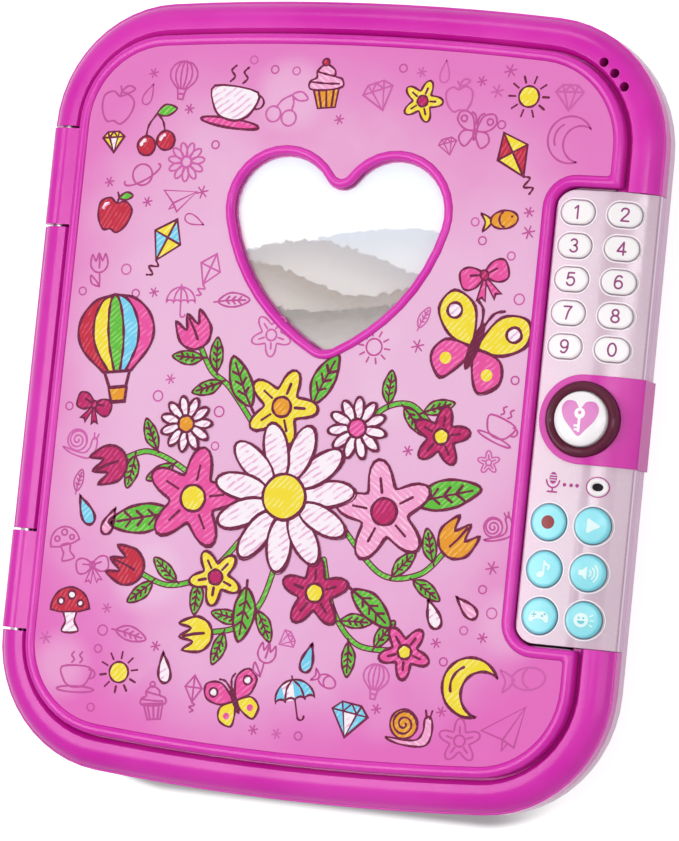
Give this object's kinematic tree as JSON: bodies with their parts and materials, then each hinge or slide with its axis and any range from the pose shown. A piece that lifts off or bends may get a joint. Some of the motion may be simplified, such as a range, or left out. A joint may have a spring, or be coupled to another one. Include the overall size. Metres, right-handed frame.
{
  "type": "electronic secret diary",
  "caption": "Flat notepad case with round corners, a picture lid on a spine hinge, a keypad housing and a round lock button on its right side.",
  "frame": {"origin": "middle of the bounding box in X and Y, on the flat back that the case lies on", "axes": "+X to the keypad side, +Y to the top of the case along the spine, +Z out of the lid"},
  "size_m": [0.215, 0.261, 0.0406],
  "materials": {
    "shell_plastic": "pearl, pale lilac-pink",
    "frame_plastic": "gloss, magenta",
    "tray_plastic": "satin, light pink",
    "panel_plastic": "pearl, pale mauve",
    "band_plastic": "gloss, magenta",
    "ring_plastic": "gloss, plum",
    "button_white": "gloss, white",
    "key_white": "satin, white",
    "button_aqua": "gloss, aqua",
    "mat_rubber": "matt, grey",
    "board": "satin, green",
    "plain_metal": "plain, zinc plated",
    "speaker_black": "matt, black",
    "cell_skin": "satin, dark grey",
    "lid_plastic": "gloss, magenta",
    "print_sheet": "frosted pink with a printed pattern",
    "rim_plastic": "gloss, magenta",
    "window_clear": "clear, polished",
    "card_paper": "smooth, pale blue",
    "page_paper": "matt, white",
    "cover_card": "satin, pink"
  },
  "bodies": {
    "case": {"back_shell": "shell_plastic", "top_frame": "frame_plastic", "inner_tray": "tray_plastic", "keypad_panel": "panel_plastic", "latch_band": "band_plastic", "lock_ring": "ring_plastic", "key_mat": "mat_rubber", "circuit_board": "board", "microphone": "plain_metal", "speaker": "speaker_black", "latch_motor": "plain_metal", "battery_door": "shell_plastic", "battery_door_screw": "plain_metal", "batteries": "cell_skin", "battery_contacts": "plain_metal", "case_screws": "plain_metal", "hinge_pins": "plain_metal", "notebook_pages": "page_paper", "notebook_cover": "cover_card"},
    "lid": {"lid_shell": "lid_plastic", "lid_liner": "tray_plastic", "lid_print_panel": "print_sheet", "heart_rim": "rim_plastic", "heart_window": "window_clear", "photo_card": "card_paper", "photo_retainer": "tray_plastic", "lid_catch": "plain_metal"},
    "lock": {"lock_button": "button_white"},
    "bolt": {"latch_bolt": "plain_metal"},
    "number_1": {"key_1": "key_white"},
    "number_2": {"key_2": "key_white"},
    "number_3": {"key_3": "key_white"},
    "number_4": {"key_4": "key_white"},
    "number_5": {"key_5": "key_white"},
    "number_6": {"key_6": "key_white"},
    "number_7": {"key_7": "key_white"},
    "number_8": {"key_8": "key_white"},
    "number_9": {"key_9": "key_white"},
    "number_0": {"key_0": "key_white"},
    "record": {"button_record": "button_aqua"},
    "play": {"button_play": "button_aqua"},
    "music": {"button_music": "button_aqua"},
    "volume": {"button_volume": "button_aqua"},
    "game": {"button_game": "button_aqua"},
    "voice": {"button_voice": "button_aqua"}
  },
  "joints": [
    {"name": "lid_hinge", "type": "hinge", "parent": "case", "child": "lid", "pos_m": [-0.10225, 0, 0.0313], "axis": [0, -1, 0], "range_deg": [0, 170]},
    {"name": "lock_press", "type": "slide", "parent": "case", "child": "lock", "axis": [0, 0, -1], "range_m": [0, 0.0015], "stiffness_N_per_m": 300},
    {"name": "bolt_slide", "type": "slide", "parent": "case", "child": "bolt", "axis": [-1, 0, 0], "range_m": [0, 0.004]},
    {"name": "key_1_press", "type": "slide", "parent": "case", "child": "number_1", "axis": [0, 0, -1], "range_m": [0, 0.001], "stiffness_N_per_m": 250},
    {"name": "key_2_press", "type": "slide", "parent": "case", "child": "number_2", "axis": [-0.2299, 0, -0.9732], "range_m": [0, 0.001], "stiffness_N_per_m": 250},
    {"name": "key_3_press", "type": "slide", "parent": "case", "child": "number_3", "axis": [0, 0, -1], "range_m": [0, 0.001], "stiffness_N_per_m": 250},
    {"name": "key_4_press", "type": "slide", "parent": "case", "child": "number_4", "axis": [-0.2299, 0, -0.9732], "range_m": [0, 0.001], "stiffness_N_per_m": 250},
    {"name": "key_5_press", "type": "slide", "parent": "case", "child": "number_5", "axis": [0, 0, -1], "range_m": [0, 0.001], "stiffness_N_per_m": 250},
    {"name": "key_6_press", "type": "slide", "parent": "case", "child": "number_6", "axis": [-0.2299, 0, -0.9732], "range_m": [0, 0.001], "stiffness_N_per_m": 250},
    {"name": "key_7_press", "type": "slide", "parent": "case", "child": "number_7", "axis": [0, 0, -1], "range_m": [0, 0.001], "stiffness_N_per_m": 250},
    {"name": "key_8_press", "type": "slide", "parent": "case", "child": "number_8", "axis": [-0.2299, 0, -0.9732], "range_m": [0, 0.001], "stiffness_N_per_m": 250},
    {"name": "key_9_press", "type": "slide", "parent": "case", "child": "number_9", "axis": [0, 0, -1], "range_m": [0, 0.001], "stiffness_N_per_m": 250},
    {"name": "key_0_press", "type": "slide", "parent": "case", "child": "number_0", "axis": [-0.2299, 0, -0.9732], "range_m": [0, 0.001], "stiffness_N_per_m": 250},
    {"name": "record_press", "type": "slide", "parent": "case", "child": "record", "axis": [0, 0, -1], "range_m": [0, 0.001], "stiffness_N_per_m": 250},
    {"name": "music_press", "type": "slide", "parent": "case", "child": "music", "axis": [0, 0, -1], "range_m": [0, 0.001], "stiffness_N_per_m": 250},
    {"name": "game_press", "type": "slide", "parent": "case", "child": "game", "axis": [0, 0, -1], "range_m": [0, 0.001], "stiffness_N_per_m": 250},
    {"name": "play_press", "type": "slide", "parent": "case", "child": "play", "axis": [-0.2077, 0, -0.9782], "range_m": [0, 0.001], "stiffness_N_per_m": 250},
    {"name": "volume_press", "type": "slide", "parent": "case", "child": "volume", "axis": [-0.2077, 0, -0.9782], "range_m": [0, 0.001], "stiffness_N_per_m": 250},
    {"name": "voice_press", "type": "slide", "parent": "case", "child": "voice", "axis": [-0.2077, 0, -0.9782], "range_m": [0, 0.001], "stiffness_N_per_m": 250}
  ]
}
